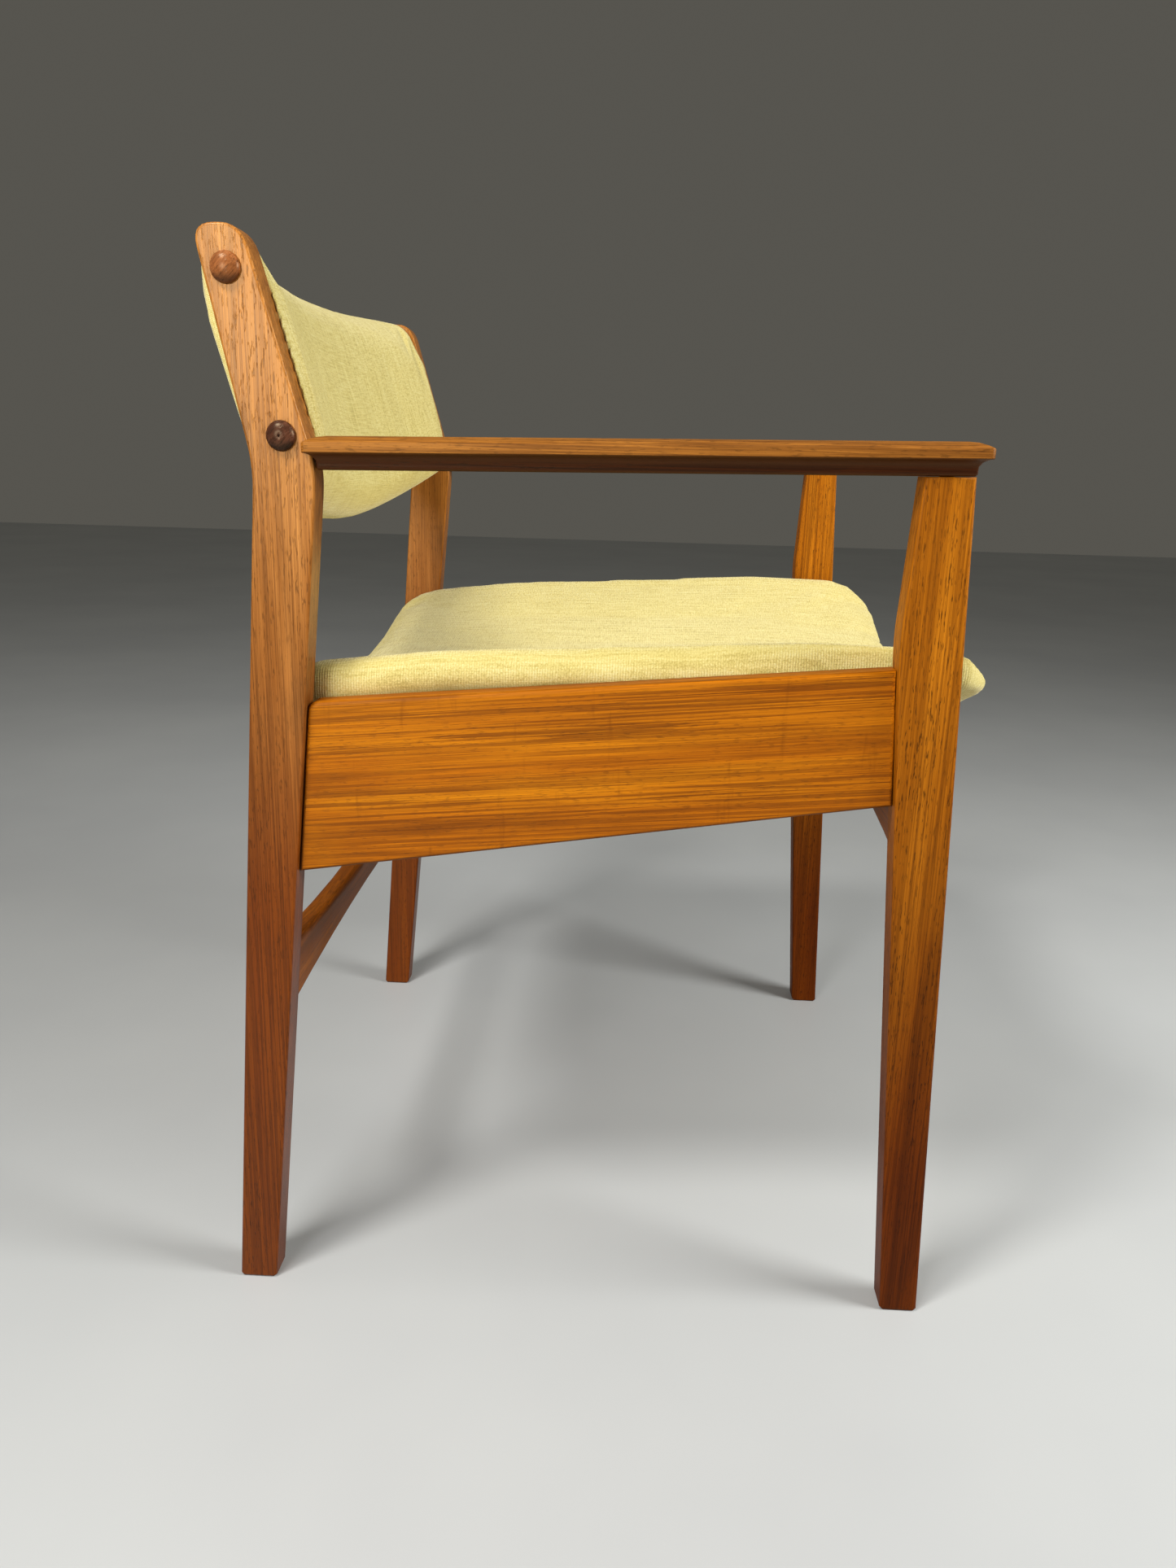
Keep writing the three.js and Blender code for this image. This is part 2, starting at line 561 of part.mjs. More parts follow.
// ---- back: a bowed board between two battens, padded in front and behind ----
// It is drawn flat, x across, y up the back and z towards the rear, and then leaned back.
const backLean = new THREE.Matrix4().makeBasis(
  new THREE.Vector3(-1, 0, 0),
  new THREE.Vector3(0, Math.sin(BACK.rake), Math.cos(BACK.rake)),
  new THREE.Vector3(0, Math.cos(BACK.rake), -Math.sin(BACK.rake)),
);
backLean.setPosition(0, BACK.y, BACK.z);
const lean = (solid) => solid.transform(backLean.toArray());

const bow = (x) => BACK.bow * (1 - Math.min(Math.abs(x) / BACK.flat, 1) ** 2.15);
const backLow = (x) => BACK_EDGE.low + BACK_EDGE.lowRise * (x / BACK.half) ** 2;
const backTop = (x) => BACK_EDGE.top + BACK_EDGE.topRise * (1 - (x / BACK.half) ** 4);
// both long edges curve: the outline is a rectangle whose heights are squeezed to fit between them
const fitHeight = (x, v) => {
  const t = (v - BACK_EDGE.low) / (BACK_EDGE.top - BACK_EDGE.low);
  return mix(backLow(x), backTop(x), t);
};
const endGap = (x) => BACK.half - Math.abs(x);
const topGap = (x, v) => backTop(x) - v;
const lowGap = (x, v) => v - backLow(x);
const padFront = (x, v) =>
  bow(x) + roll(topGap(x, v), 48, 22) + roll(lowGap(x, v), 26, 18) + roll(endGap(x), 6, 1.4);
const padRear = (x, v) =>
  bow(x) + BACK.deep - roll(topGap(x, v), 52, 20) - roll(lowGap(x, v), 22, 16) - roll(endGap(x), 22, 12);

const BACK_STEPS = [14, 4];
function backSlab(box, radius, low, top, lowInsets, topInsets) {
  const fit = (surface) => (x, v) => surface(x, fitHeight(x, v));
  const flat = slab(box, radius, BACK_STEPS, fit(low), fit(top), lowInsets, topInsets);
  return flat.warp((vertex) => {
    vertex[1] = fitHeight(vertex[0], vertex[1]);
  });
}
const backBox = [-BACK.half, BACK_EDGE.low, BACK.half, BACK_EDGE.top];

function backCore(grow) {
  const { front, thick } = BACK_BOARD;
  const inset = BACK_BOARD.inset - grow;
  const half = BATTEN.inner - GAP;
  const box = [-half - 2 * grow, BACK_EDGE.low + inset, half + 2 * grow, BACK_EDGE.top - inset];
  const near = (x) => bow(x) + front - grow;
  const far = (x) => bow(x) + front + thick + grow;
  const board = backSlab(box, 4, near, far);
  const battens = Object.values(SIDES).map((s) => {
    const width = BATTEN.outer - BATTEN.inner + 2 * grow;
    const height = BATTEN.top - BATTEN.low + 2 * grow;
    const geometry = new THREE.BoxGeometry(width, height, BATTEN.back - BATTEN.front + 2 * grow);
    const x = (s * (BATTEN.outer + BATTEN.inner)) / 2;
    geometry.translate(x, (BATTEN.top + BATTEN.low) / 2, (BATTEN.back + BATTEN.front) / 2);
    return solidOf(geometry);
  });
  return { board, battens };
}

function backPads() {
  const whole = backSlab(backBox, BACK_EDGE.cornerR, padFront, padRear, TOP_INSETS, TOP_INSETS);
  const room = backCore(GAP);
  const split = BACK_BOARD.front + BACK_BOARD.thick / 2;
  const wide = [-BACK.half - 20, BACK_EDGE.low - 60, BACK.half + 20, BACK_EDGE.top + 20];
  const upTo = (gap) => slab(wide, 2, BACK_STEPS, () => -60, (x) => bow(x) + split + gap);
  const ahead = upTo(-GAP / 2);
  const behind = upTo(GAP / 2);
  const core = [room.board, ...room.battens];
  return { front: cut(whole.intersect(ahead), core), rear: cut(whole.subtract(behind), core) };
}

// ---- assembly ----
const chair = new THREE.Group();
function add(name, solid, material) {
  const mesh = new THREE.Mesh(geometryOf(solid), material);
  mesh.name = name;
  chair.add(mesh);
}

const core = backCore(0);
const pads = backPads();
const seatHoles = [];
const backHoles = [];
for (const [side, s] of Object.entries(SIDES)) {
  const fixings = backFixings(s);
  const seat = seatFixings(s);
  seatHoles.push(...seat.holes);
  backHoles.push(...fixings.recesses);
  const outer = s * FRAME_HALF;
  const inner = s * LEG_INNER;
  const holes = boresOn(s);
  const rearLeg = plank(rearLegShape(), inner, outer);
  add(`rear_leg_${side}`, cut(rearLeg, [...holes, ...fixings.recesses]), TEAK);
  add(`front_leg_${side}`, cut(plank(frontLegShape(), inner, outer), holes), TEAK);
  add(`armrest_${side}`, armrest(s), TEAK);
  const rail = plank(sideRailShape(), s * RAIL_INNER, s * RAIL_OUTER, 3.5);
  add(`side_rail_${side}`, cut(rail, [...holes, ...seat.holes]), TEAK_LIGHT);
  add(`seat_cleat_${side}`, cut(cleat(s), seat.holes), BEECH);
  for (const [name, solid] of Object.entries(fixings.made)) {
    const material = name.startsWith("button") ? ROSEWOOD : STEEL;
    add(`${name}_${side}`, solid, material);
  }
  for (const [name, solid] of Object.entries(seat.made)) add(`${name}_${side}`, solid, STEEL);
}
add("rear_stretcher", crossRail(STRETCHER), TEAK);
add("front_rail", crossRail(FRONT_RAIL), TEAK);
add("seat_board", cut(seatBoard, seatHoles), BEECH);
add("seat_pad", cut(seatPad(), seatHoles), WOOL);
add("back_board", lean(core.board), BEECH);
Object.keys(SIDES).forEach((side, i) => {
  // the back is drawn from behind, so its first batten comes to the other side
  add(`back_batten_${side}`, cut(lean(core.battens[1 - i]), backHoles), BEECH);
});
// the front pad laps a little over the front of each post, above the armrests, and the rear pad
// stays between the posts
const rooms = Object.values(SIDES).map((s) => {
  const [x0, x1] = [s * (LEG_INNER - GAP), s * (FRAME_HALF + 1)].sort((one, two) => one - two);
  return {
    post: plank(rearLegShape(GAP), x0, x1, 0),
    arm: block(x0, x1, 60, 170, 560, ARM.topZ + 3),
    side: block(x0, x1, 60, 400, 560, 850),
  };
});
const lapRooms = rooms.flatMap(({ post, arm }) => [post, arm]);
const sideRooms = rooms.map(({ side }) => side);
add("back_pad_front", cut(lean(pads.front), [...backHoles, ...lapRooms]), WOOL);
add("back_pad_rear", cut(lean(pads.rear), [...backHoles, ...sideRooms]), WOOL);
for (const { name, from, to, r } of dowels) add(name, bar(from, to, r), BEECH);

// centre the footprint on the origin, with the feet on the floor
const bounds = new THREE.Box3().setFromObject(chair, true);
chair.position.set(0, -(bounds.min.y + bounds.max.y) / 2, -bounds.min.z);

export default chair;
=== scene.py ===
"""A teak armchair with a woven wool seat and back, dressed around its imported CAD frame."""

import math

import bmesh
import bpy
import numpy as np
from mathutils import Matrix, Vector
from mathutils.bvhtree import BVHTree


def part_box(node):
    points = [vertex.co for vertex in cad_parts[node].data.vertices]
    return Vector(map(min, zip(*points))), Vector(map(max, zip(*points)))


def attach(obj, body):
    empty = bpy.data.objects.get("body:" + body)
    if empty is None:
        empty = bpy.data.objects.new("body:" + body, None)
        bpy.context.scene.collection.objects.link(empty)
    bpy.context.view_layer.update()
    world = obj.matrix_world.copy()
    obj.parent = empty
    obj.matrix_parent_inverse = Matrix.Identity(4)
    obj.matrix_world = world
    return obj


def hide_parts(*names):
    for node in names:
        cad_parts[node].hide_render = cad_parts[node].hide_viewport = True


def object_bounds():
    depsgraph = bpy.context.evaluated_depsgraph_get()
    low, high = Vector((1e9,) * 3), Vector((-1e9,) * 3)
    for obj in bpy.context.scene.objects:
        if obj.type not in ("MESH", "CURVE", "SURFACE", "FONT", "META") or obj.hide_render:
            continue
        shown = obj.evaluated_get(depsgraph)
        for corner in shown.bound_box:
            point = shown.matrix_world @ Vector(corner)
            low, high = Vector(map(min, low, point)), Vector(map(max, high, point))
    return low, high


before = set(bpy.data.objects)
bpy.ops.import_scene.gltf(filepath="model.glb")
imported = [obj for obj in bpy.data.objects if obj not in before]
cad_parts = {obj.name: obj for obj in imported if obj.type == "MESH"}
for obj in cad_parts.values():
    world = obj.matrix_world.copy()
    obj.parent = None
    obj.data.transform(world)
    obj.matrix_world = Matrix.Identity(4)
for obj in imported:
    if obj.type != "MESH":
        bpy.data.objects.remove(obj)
cad_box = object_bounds()
scene = bpy.context.scene


# ---------------------------------------------------------------- camera
def add_camera():
    """The chair is seen from its right-hand side, a little from the front, from above the arm."""
    yaw, pitch, roll = 0.0372, 0.2763, 0.0279
    forward = Vector(
        (math.cos(yaw) * math.cos(pitch), math.sin(yaw) * math.cos(pitch), -math.sin(pitch))
    )
    level = forward.cross(Vector((0, 0, 1))).normalized()
    rise = level.cross(forward)
    right = math.cos(roll) * level + math.sin(roll) * rise
    up = -math.sin(roll) * level + math.cos(roll) * rise
    data = bpy.data.cameras.new("camera")
    data.lens = 26.0
    data.sensor_width = 36.0
    camera = bpy.data.objects.new("camera", data)
    rotation = Matrix((right, up, -forward)).transposed().to_4x4()
    camera.matrix_world = Matrix.Translation((-1.0514, -0.0357, 0.6457)) @ rotation
    scene.collection.objects.link(camera)
    scene.camera = camera


add_camera()


# ---------------------------------------------------------------- material helpers
def linear(red, green, blue):
    """An sRGB colour, 0 to 255, as linear values."""
    values = []
    for v in (red, green, blue):
        v /= 255
        values.append(v / 12.92 if v <= 0.04045 else ((v + 0.055) / 1.055) ** 2.4)
    return (*values, 1.0)


class Nodes:
    """A material's node tree, with short calls to add to it."""

    def __init__(self, name):
        self.material = bpy.data.materials.new(name)
        self.material.use_nodes = True
        self.tree = self.material.node_tree
        self.shader = self.tree.nodes["Principled BSDF"]

    def add(self, kind, settings=(), **inputs):
        node = self.tree.nodes.new("ShaderNode" + kind)
        for key, value in dict(settings).items():
            setattr(node, key, value)
        for key, value in inputs.items():
            self.feed(node.inputs[key.replace("_", " ")], value)
        return node

    def feed(self, socket, value):
        if isinstance(value, bpy.types.NodeSocket):
            self.tree.links.new(value, socket)
        else:
            socket.default_value = value

    def math(self, operation, first, second=0.0, clamp=False):
        node = self.tree.nodes.new("ShaderNodeMath")
        node.operation = operation
        node.use_clamp = clamp
        self.feed(node.inputs[0], first)
        self.feed(node.inputs[1], second)
        return node.outputs[0]

    def ramp(self, factor, stops):
        node = self.tree.nodes.new("ShaderNodeValToRGB")
        elements = node.color_ramp.elements
        while len(elements) < len(stops):
            elements.new(0.5)
        for element, (place, color) in zip(elements, stops):
            element.position = place
            element.color = color if len(color) == 4 else (*color, 1.0)
        self.feed(node.inputs[0], factor)
        return node.outputs[0]

    def step(self, factor, low, high):
        """0 below low, 1 above high, and a smooth rise between them."""
        node = self.tree.nodes.new("ShaderNodeMapRange")
        node.interpolation_type = "SMOOTHSTEP"
        self.feed(node.inputs[0], factor)
        node.inputs[1].default_value = low
        node.inputs[2].default_value = high
        return node.outputs[0]

    def mix(self, factor, first, second, blend="MIX"):
        node = self.tree.nodes.new("ShaderNodeMix")
        node.data_type = "RGBA"
        node.blend_type = blend
        self.feed(node.inputs[0], factor)
        self.feed(node.inputs[6], first)
        self.feed(node.inputs[7], second)
        return node.outputs[2]

    def noise(self, vector, scale, detail=2.0, roughness=0.5, distortion=0.0):
        node = self.add("TexNoise", Vector=vector, Scale=scale, Detail=detail, Roughness=roughness)
        node.inputs["Distortion"].default_value = distortion
        return node.outputs[0]

    def bump(self, height, strength, distance):
        node = self.add("Bump", Height=height, Strength=strength, Distance=distance)
        self.feed(self.shader.inputs["Normal"], node.outputs[0])


AXES = {"X": 0, "Y": 1, "Z": 2}


def stretched(nodes, along, length, place, turn=(0, 0, 0)):
    """Object coordinates squeezed along the grain, so that a pattern is drawn out to that length."""
    scale = [1.0, 1.0, 1.0]
    scale[AXES[along]] = 1.0 / length
    coordinates = nodes.add("TexCoord").outputs["Object"]
    turned = nodes.add("Mapping", Vector=coordinates, Rotation=turn, Location=place)
    return nodes.add("Mapping", Vector=turned.outputs[0], Scale=tuple(scale)).outputs[0]


def wood(
    name,
    along,
    tones,
    place=(0, 0, 0),
    turn=(0, 0, 0),
    pores=0.6,
    lines=0.6,
    smoke=0.4,
    gloss=0.4,
    shine=0.25,
    marks=0.0,
    painted_height_light=None,
):
    """Oiled wood. tones are its dark, middle and light colours, along is the axis of the grain, and
    the last argument is (low z, high z, low tint, high tint, tilt): painted light and shade that
    tint the wood by height, and the height is measured from a plane that falls by tilt along Y."""
    nodes = Nodes(name)
    dark, middle, light = (linear(*tone) for tone in tones)
    short = stretched(nodes, along, 6, place, turn)
    long = stretched(nodes, along, 22, place, turn)
    longer = stretched(nodes, along, 110, place, turn)
    figure = nodes.noise(long, 30, 5, 0.62, 0.5)
    color = nodes.ramp(figure, [(0.24, dark), (0.5, middle), (0.76, light)])
    # growth lines, uneven in width and darkness
    broad = nodes.step(nodes.noise(longer, 230, 3, 0.6, 0.2), 0.54, 0.58)
    thin = nodes.step(nodes.noise(longer, 560, 2, 0.55, 0.1), 0.53, 0.58)
    growth = nodes.math("MAXIMUM", nodes.math("MULTIPLY", broad, 0.8), thin)
    strength = nodes.step(nodes.noise(long, 20, 2), 0.3, 0.7)
    strength = nodes.math("ADD", nodes.math("MULTIPLY", strength, 0.6), 0.4)
    growth = nodes.math("MULTIPLY", growth, strength)
    deep = tuple(v * 0.36 for v in dark[:3]) + (1.0,)
    color = nodes.mix(nodes.math("MULTIPLY", growth, lines), color, dark)
    # smoky streaks
    streak = nodes.step(nodes.noise(short, 24, 3, 0.6, 0.6), 0.58, 0.74)
    color = nodes.mix(nodes.math("MULTIPLY", streak, smoke), color, deep)
    fibre = nodes.noise(longer, 1100, 3, 0.7)
    shade = nodes.ramp(fibre, [(0.3, (0.58, 0.52, 0.48)), (0.7, (1.3, 1.32, 1.36))])
    color = nodes.mix(0.85, color, shade, "MULTIPLY")
    # open pores, short dark dashes
    pore = nodes.step(nodes.noise(stretched(nodes, along, 7, place, turn), 900, 2, 0.5), 0.57, 0.67)
    patch = nodes.step(nodes.noise(long, 70, 2), 0.35, 0.65)
    pore = nodes.math("MULTIPLY", pore, nodes.math("ADD", nodes.math("MULTIPLY", patch, 0.6), 0.4))
    color = nodes.mix(nodes.math("MULTIPLY", pore, pores), color, deep)
    plain = nodes.add("TexCoord").outputs["Object"]
    if marks:
        # a few marks across the grain, where the light catches curly fibres
        across = nodes.add("Mapping", Vector=plain, Scale=(60, 90, 14), Location=place).outputs[0]
        mark = nodes.step(nodes.noise(across, 1, 3, 0.6), 0.62, 0.78)
        color = nodes.mix(nodes.math("MULTIPLY", mark, marks), color, dark)
    # patches bleached by hands and light
    patches = nodes.step(nodes.noise(plain, 9, 4, 0.6), 0.5, 0.75)
    color = nodes.mix(nodes.math("MULTIPLY", patches, 0.18), color, light)
    # painted light and shade: the colour is multiplied by a tint that changes with height
    if painted_height_light:
        low_z, high_z, low, high, tilt = painted_height_light
        at = nodes.add("SeparateXYZ", Vector=plain).outputs
        rise = nodes.math("ADD", at[2], nodes.math("MULTIPLY", at[1], tilt))
        level = nodes.step(rise, low_z, high_z)
        color = nodes.mix(1.0, color, nodes.ramp(level, [(0.0, low), (1.0, high)]), "MULTIPLY")
    # painted shade: faces that look down are darkened towards the deep tone, for the shade beneath
    # them
    facing = nodes.add("SeparateXYZ", Vector=nodes.add("NewGeometry").outputs["Normal"]).outputs[2]
    painted_underside_shade = nodes.step(nodes.math("MULTIPLY", facing, -1.0), 0.08, 0.6)
    color = nodes.mix(nodes.math("MULTIPLY", painted_underside_shade, 0.8), color, deep)
    nodes.feed(nodes.shader.inputs["Base Color"], color)
    rough = nodes.math("ADD", nodes.math("MULTIPLY", patches, 0.1), gloss)
    rough = nodes.math("ADD", rough, nodes.math("MULTIPLY", fibre, 0.12))
    nodes.feed(nodes.shader.inputs["Roughness"], rough)
    nodes.shader.inputs["Specular IOR Level"].default_value = shine
    nodes.shader.inputs["Specular Tint"].default_value = (1.0, 0.78, 0.5, 1.0)
    height = nodes.math("SUBTRACT", nodes.math("MULTIPLY", fibre, 0.4), pore)
    nodes.bump(height, 0.22, 0.0005)
    return nodes.material


TEAK = ((108, 58, 16), (164, 98, 34), (194, 126, 54))
TEAK_LEG = ((112, 58, 6), (170, 98, 14), (202, 126, 30))
TEAK_DEEP = ((84, 42, 4), (140, 74, 10), (172, 98, 18))
TEAK_GOLD = ((116, 57, 0), (178, 98, 0), (208, 128, 6))
ROSEWOOD = ((34, 18, 12), (78, 46, 34), (124, 80, 56))
SWIRL = ((104, 58, 30), (158, 96, 52), (204, 142, 90))
BEECH = ((182, 142, 88), (202, 164, 110), (218, 184, 134))


def weave(name, tones, rake=0.0, pitch=0.0019):
    """A ribbed wool weave. The threads follow the two axes that lie closest to the surface."""
    nodes = Nodes(name)
    shade, body, lit = (linear(*tone) for tone in tones)
    coordinates = nodes.add("TexCoord").outputs["Object"]
    wobble = nodes.noise(coordinates, 26, 2, 0.5)
    shift = nodes.math("MULTIPLY", nodes.math("SUBTRACT", wobble, 0.5), 0.004)
    turned = nodes.add("Mapping", Vector=coordinates, Rotation=(rake, 0, 0))
    place = nodes.add("SeparateXYZ", Vector=turned.outputs[0])
    normal = nodes.add("NewGeometry").outputs["Normal"]
    raked = nodes.add("Mapping", Vector=normal, Rotation=(rake, 0, 0))
    facing = nodes.add("SeparateXYZ", Vector=raked.outputs[0])

    def thread(axis, factor):
        moved = nodes.math("ADD", place.outputs[axis], shift)
        turns = nodes.math("MULTIPLY", moved, 2 * math.pi / (pitch * factor))
        return nodes.math("ADD", nodes.math("MULTIPLY", nodes.math("SINE", turns), 0.5), 0.5)

    # ribs run front to back on the seat and up the back, and a finer thread crosses them
    ribs = [thread(0, 1.0), thread(1, 1.0), thread(2, 0.6)]
    flat = [nodes.math("ABSOLUTE", facing.outputs[axis]) for axis in range(3)]
    pairs = [(1, 2), (0, 2), (0, 1)]
    total = None
    for axis, (rib, cross) in enumerate(pairs):
        finer = nodes.math("MULTIPLY", ribs[cross], 0.4)
        knit = nodes.math("ADD", nodes.math("MULTIPLY", ribs[rib], 0.6), finer)
        part = nodes.math("MULTIPLY", knit, nodes.math("POWER", flat[axis], 4.0))
        total = part if total is None else nodes.math("ADD", total, part)
    weave_height = nodes.step(total, 0.1, 0.8)
    # threads that run a little thicker or darker, along and across
    warp = nodes.add("Mapping", Vector=turned.outputs[0], Scale=(900, 26, 26)).outputs[0]
    weft = nodes.add("Mapping", Vector=turned.outputs[0], Scale=(40, 900, 900)).outputs[0]
    slub = nodes.math("ADD", nodes.noise(warp, 1, 2), nodes.noise(weft, 1, 2))
    mottled = nodes.noise(coordinates, 760, 2, 0.7)
    tone = nodes.math(
        "ADD", nodes.math("MULTIPLY", slub, 0.32), nodes.math("MULTIPLY", mottled, 0.36)
    )
    color = nodes.ramp(tone, [(0.38, shade), (0.5, body), (0.62, lit)])
    between = nodes.math("SUBTRACT", 1.0, weave_height)
    color = nodes.mix(nodes.math("MULTIPLY", between, 0.55), color, shade)
    worn = nodes.step(nodes.noise(coordinates, 7, 3), 0.45, 0.75)
    color = nodes.mix(nodes.math("MULTIPLY", worn, 0.07), color, shade)
    nodes.feed(nodes.shader.inputs["Base Color"], color)
    nodes.shader.inputs["Roughness"].default_value = 0.92
    nodes.shader.inputs["Specular IOR Level"].default_value = 0.2
    nodes.shader.inputs["Sheen Weight"].default_value = 0.25
    nodes.shader.inputs["Sheen Roughness"].default_value = 0.5
    height = nodes.math("ADD", weave_height, nodes.math("MULTIPLY", mottled, 0.5))
    nodes.bump(height, 0.45, 0.0006)
    return nodes.material


WOOL = ((194, 176, 96), (238, 224, 146), (250, 243, 180))


def metal(name):
    """Zinc-plated steel with fine turning lines."""
    nodes = Nodes(name)
    grain = nodes.noise(stretched(nodes, "Z", 12, (0, 0, 0)), 900, 3)
    color = nodes.ramp(grain, [(0.3, linear(120, 120, 118)), (0.7, linear(190, 190, 186))])
    nodes.feed(nodes.shader.inputs["Base Color"], color)
    nodes.shader.inputs["Metallic"].default_value = 1.0
    rough = nodes.math("ADD", nodes.math("MULTIPLY", grain, 0.2), 0.25)
    nodes.feed(nodes.shader.inputs["Roughness"], rough)
    return nodes.material


# ---------------------------------------------------------------- pieces
WELD = 1e-5  # corners nearer than this are one
FLAT = math.radians(0.6)  # faces that turn less than this are parts of one flat face


def link(mesh, name):
    piece = bpy.data.objects.new(name, mesh)
    scene.collection.objects.link(piece)
    return piece


def copy_of(nodes, name):
    """One new piece with the shape of the CAD nodes."""
    whole = bmesh.new()
    for node in nodes:
        whole.from_mesh(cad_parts[node].data)
    bmesh.ops.remove_doubles(whole, verts=whole.verts, dist=WELD)
    mesh = bpy.data.meshes.new(name)
    whole.to_mesh(mesh)
    whole.free()
    return link(mesh, name)


def stand_for(piece, nodes, material):
    """Puts the piece in the place of the CAD nodes, in its material and on the chair's one body."""
    piece.data.materials.clear()
    piece.data.materials.append(material)
    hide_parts(*nodes)
    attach(piece, "root")
    return piece


def wooden(node, material, angle=52):
    """A wooden piece: the CAD shape with flat faces made whole and its rounded edges smooth.
    Edges sharper than angle degrees stay crisp."""
    piece = copy_of([node], node + "_wood")
    work = bmesh.new()
    work.from_mesh(piece.data)
    bmesh.ops.dissolve_limit(work, angle_limit=FLAT, verts=work.verts, edges=work.edges)
    for face in work.faces:
        face.smooth = True
    work.to_mesh(piece.data)
    work.free()
    piece.data.set_sharp_from_angle(angle=math.radians(angle))
    weigh = piece.modifiers.new("even_shading", "WEIGHTED_NORMAL")
    weigh.keep_sharp = True
    weigh.weight = 90
    return stand_for(piece, [node], material)


def apply_modifiers(piece):
    graph = bpy.context.evaluated_depsgraph_get()
    mesh = bpy.data.meshes.new_from_object(piece.evaluated_get(graph))
    piece.modifiers.clear()
    old = piece.data
    piece.data = mesh
    bpy.data.meshes.remove(old)


def coordinates_of(mesh):
    flat = np.empty(len(mesh.vertices) * 3)
    mesh.vertices.foreach_get("co", flat)
    return flat.reshape(-1, 3)


def set_coordinates(mesh, points):
    mesh.vertices.foreach_set("co", points.ravel())
    mesh.update()


def keep_largest_shell(piece):
    """Drops the small closed shells that a remesh leaves inside a pad."""
    work = bmesh.new()
    work.from_mesh(piece.data)
    left = set(work.verts)
    shells = []
    while left:
        start = left.pop()
        shell, queue = {start}, [start]
        while queue:
            for edge in queue.pop().link_edges:
                for vert in edge.verts:
                    if vert in left:
                        left.discard(vert)
                        shell.add(vert)
                        queue.append(vert)
        shells.append(shell)
    shells.sort(key=len)
    small = [vert for shell in shells[:-1] for vert in shell]
    bmesh.ops.delete(work, geom=small, context="VERTS")
    work.to_mesh(piece.data)
    work.free()


def tree_of(node):
    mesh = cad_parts[node].data
    points = [tuple(v.co) for v in mesh.vertices]
    return BVHTree.FromPolygons(points, [tuple(p.vertices) for p in mesh.polygons])


CLOTH_FRAMES = 20
SETTLE = 3  # how often a pad is evened out after it has swollen


def soften(piece, times):
    """Evens out a piece's surface."""
    smooth = piece.modifiers.new("smooth", "SMOOTH")
    smooth.factor = 0.5
    smooth.iterations = times
    apply_modifiers(piece)


def upholster(piece, voxel, cap, pressure, held, relax, finer):
    """Remeshes a pad and swells it like cloth over foam, no point moving more than cap.

    held gives the points that stay where they are, relax is how often the remesh is evened out
    first, and finer divides the faces once at the end."""
    remesh = piece.modifiers.new("remesh", "REMESH")
    remesh.mode = "VOXEL"
    remesh.voxel_size = voxel
    apply_modifiers(piece)
    keep_largest_shell(piece)
    soften(piece, relax)
    start = coordinates_of(piece.data)
    group = piece.vertex_groups.new(name="held")
    for index in held(start):
        group.add([int(index)], 1.0, "REPLACE")
    cloth = piece.modifiers.new("cloth", "CLOTH")
    settings = cloth.settings
    settings.use_pressure = True
    settings.uniform_pressure_force = pressure
    settings.quality = 5
    settings.mass = 0.3
    settings.tension_stiffness = 18.0
    settings.compression_stiffness = 18.0
    settings.shear_stiffness = 6.0
    settings.bending_stiffness = 1.2
    settings.effector_weights.gravity = 0.0
    settings.vertex_group_mass = "held"
    for step in range(1, CLOTH_FRAMES + 1):
        scene.frame_set(step)
    apply_modifiers(piece)
    moved = coordinates_of(piece.data) - start
    length = np.linalg.norm(moved, axis=1, keepdims=True)
    moved *= np.minimum(1.0, cap / np.maximum(length, 1e-9))
    set_coordinates(piece.data, start + moved)
    scene.frame_set(1)
    soften(piece, SETTLE)
    if finer:
        divide = piece.modifiers.new("divide", "SUBSURF")
        divide.levels = divide.render_levels = 1
        apply_modifiers(piece)
    piece.data.shade_smooth()


# ---------------------------------------------------------------- the frame
SIDES = ("right", "left")
height = cad_box[1].z
# painted light by height: a painted sheen pales the rear legs towards the top, and painted shade
# darkens every leg towards the floor
POST_SHEEN_AND_SHADE = (0.382 * height, 0.943 * height, (0.42, 0.24, 0.03), (1.36, 1.62, 2.3), 0)
LEG_HEIGHT_SHADE = (0.127 * height, 0.713 * height, (0.3, 0.17, 0.03), (1.0, 1.0, 0.7), 0)
# the arms fall by this much a metre to the rear, and their underside is lowest there
ARM_SLOPE = 0.0173
arm_low, arm_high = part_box("armrest_right")
keel = arm_low.z + ARM_SLOPE * arm_high.y
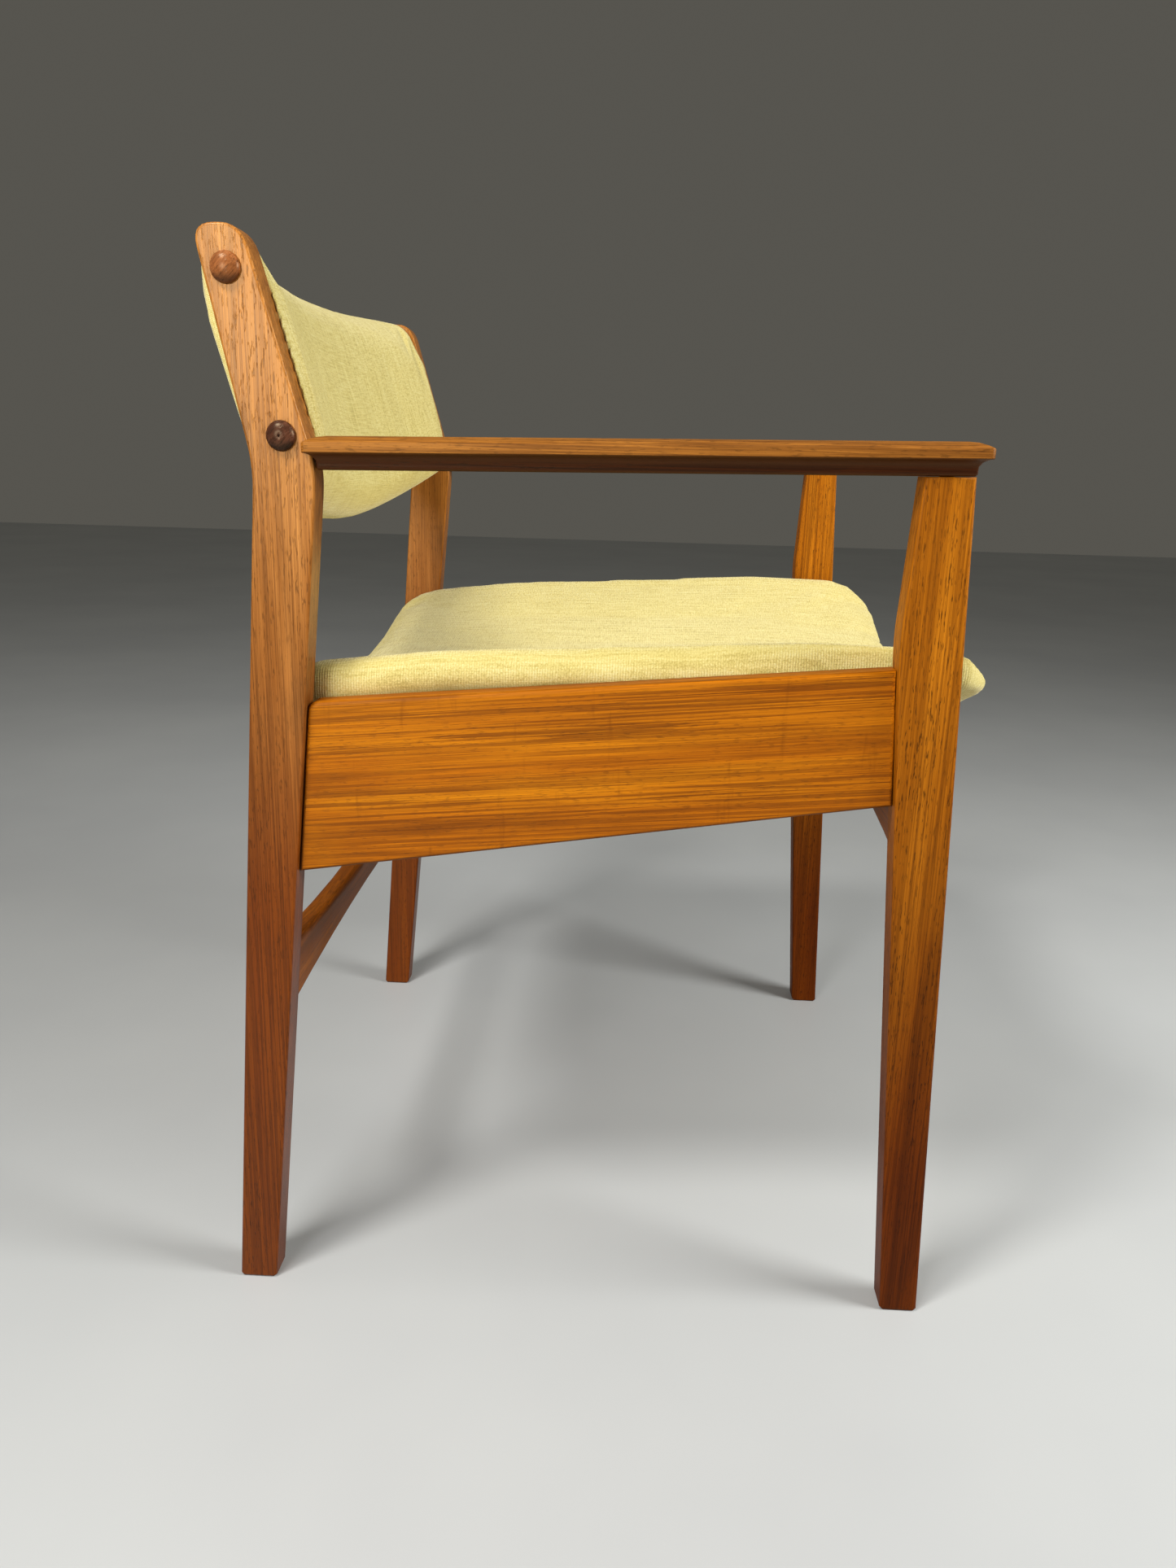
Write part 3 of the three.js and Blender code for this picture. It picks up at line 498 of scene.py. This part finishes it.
# painted shade: the cove and the keel under the arm are painted dark, where the arm's lip shades
# them; the band and the top keep their own colour
COVE_TOP, BAND_LOW = 0.0093, 0.0111
ARM_COVE_SHADE = (keel + COVE_TOP, keel + BAND_LOW, (0.12, 0.06, 0.02), (0.98, 1.1, 1.1), ARM_SLOPE)
for i, side in enumerate(SIDES):
    post = wood(
        f"rear_leg_{side}",
        "Z",
        TEAK,
        (0.37 * i, 0.0, 0.11 * i),
        smoke=0.6,
        gloss=0.24,
        shine=0.3,
        painted_height_light=POST_SHEEN_AND_SHADE,
    )
    wooden(f"rear_leg_{side}", post)
    leg = wood(
        f"front_leg_{side}",
        "Z",
        TEAK_LEG,
        (0.2 + i, 0.3, 0.0),
        pores=0.8,
        smoke=0.25,
        gloss=0.46,
        shine=0.14,
        painted_height_light=LEG_HEIGHT_SHADE,
    )
    wooden(f"front_leg_{side}", leg)
    arm = wood(f"armrest_{side}", "Y", TEAK, (0.1, 0.0, 0.5 + i), lines=0.8, painted_height_light=ARM_COVE_SHADE)
    wooden(f"armrest_{side}", arm)
    rail = wood(
        f"side_rail_{side}",
        "Y",
        TEAK_GOLD,
        (0.0, 0.7 * i, 0.05),
        (0.09, 0, 0),
        pores=0.35,
        lines=0.9,
        smoke=0.15,
        gloss=0.46,
        marks=0.5,
    )
    wooden(f"side_rail_{side}", rail)
    wooden(f"seat_cleat_{side}", wood(f"seat_cleat_{side}", "Y", BEECH, (0.4, 0.2, i)))
wooden("rear_stretcher", wood("rear_stretcher", "X", TEAK_DEEP, (0, 0.4, 0.2)))
wooden("front_rail", wood("front_rail", "X", TEAK_DEEP, (0.3, 0.1, 0.2)))
wooden("seat_board", wood("seat_board", "Y", BEECH, (0.1, 0.1, 0.2), pores=0.2))

BUTTON_WOODS = {"upper": SWIRL, "lower": ROSEWOOD}
for i, side in enumerate(SIDES):
    for j, (level, tones) in enumerate(BUTTON_WOODS.items()):
        place = (0.1 * i, 0.07 * j, 0.2)
        plug = wood(f"button_{level}_{side}", "Y", tones, place, (0.8, 0, 0), gloss=0.22)
        wooden(f"button_{level}_{side}", plug, angle=60)

steel = metal("zinc")
inner = wood("beech_inner", "X", BEECH)
for name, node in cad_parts.items():
    if node.hide_render or "pad" in name:
        continue
    node.data.materials.clear()
    node.data.materials.append(steel if "screw" in name or "washer" in name else inner)

# ---------------------------------------------------------------- upholstery
# the seat doesn't swell this near its board, nor the back this near a post
BOARD_REACH = 0.007
POST_REACH = 0.003
BACK_RAKE = math.atan(0.285)

seat = copy_of(["seat_pad"], "seat_cushion")
board = tree_of("seat_board")


def near_board(points):
    near = [board.find_nearest(Vector(point))[3] < BOARD_REACH for point in points]
    return np.nonzero(near)[0]


upholster(seat, voxel=0.0045, cap=0.0025, pressure=3.0, held=near_board, relax=4, finer=True)
stand_for(seat, ["seat_pad"], weave("wool_seat", WOOL))

back = copy_of(["back_pad_front", "back_pad_rear"], "back_cushion")
post_gap = [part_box("rear_leg_right")[1].x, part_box("rear_leg_left")[0].x]


def near_posts(points):
    across = points[:, 0]
    near = (across < post_gap[0] + POST_REACH) | (across > post_gap[1] - POST_REACH)
    return np.nonzero(near)[0]


upholster(back, voxel=0.0026, cap=0.003, pressure=4.0, held=near_posts, relax=6, finer=False)
raked_wool = weave("wool_back", WOOL, rake=BACK_RAKE)
stand_for(back, ["back_pad_front", "back_pad_rear"], raked_wool)


# ---------------------------------------------------------------- floor and light
def add_floor():
    mesh = bpy.data.meshes.new("floor")
    work = bmesh.new()
    bmesh.ops.create_grid(work, x_segments=8, y_segments=8, size=9)
    work.to_mesh(mesh)
    work.free()
    floor = link(mesh, "floor")
    nodes = Nodes("floor")
    coordinates = nodes.add("TexCoord").outputs["Object"]
    cloud = nodes.noise(coordinates, 1.4, 4, 0.6)
    color = nodes.ramp(cloud, [(0.3, linear(196, 200, 203)), (0.7, linear(206, 210, 212))])
    nodes.feed(nodes.shader.inputs["Base Color"], color)
    nodes.shader.inputs["Roughness"].default_value = 0.45
    floor.data.materials.append(nodes.material)


def add_area(name, place, target, size, power, color):
    data = bpy.data.lights.new(name, "AREA")
    data.shape = "DISK"
    data.size = size
    data.energy = power
    data.color = color
    lamp = bpy.data.objects.new(name, data)
    lamp.location = place
    lamp.rotation_euler = (Vector(target) - Vector(place)).to_track_quat("-Z", "Y").to_euler()
    scene.collection.objects.link(lamp)


add_floor()
add_area("key", (-1.15, 0.85, 2.15), (0, 0, 0.45), 0.5, 31, (1.0, 0.96, 0.9))
add_area("ceiling", (-0.3, -0.3, 2.7), (0, 0, 0.3), 2.0, 5, (1.0, 0.99, 0.97))
add_area("front", (-0.6, -1.9, 1.35), (0, -0.1, 0.55), 0.9, 42, (1.0, 0.98, 0.93))
add_area("sheen", (-2.3, 0.95, 1.05), (0, 0.1, 0.65), 0.8, 27, (1.0, 0.97, 0.94))
world = bpy.data.worlds.new("world")
world.use_nodes = True
world.node_tree.nodes["Background"].inputs[0].default_value = linear(140, 137, 128)
world.node_tree.nodes["Background"].inputs[1].default_value = 0.36
scene.world = world
scene.view_settings.view_transform = "Standard"
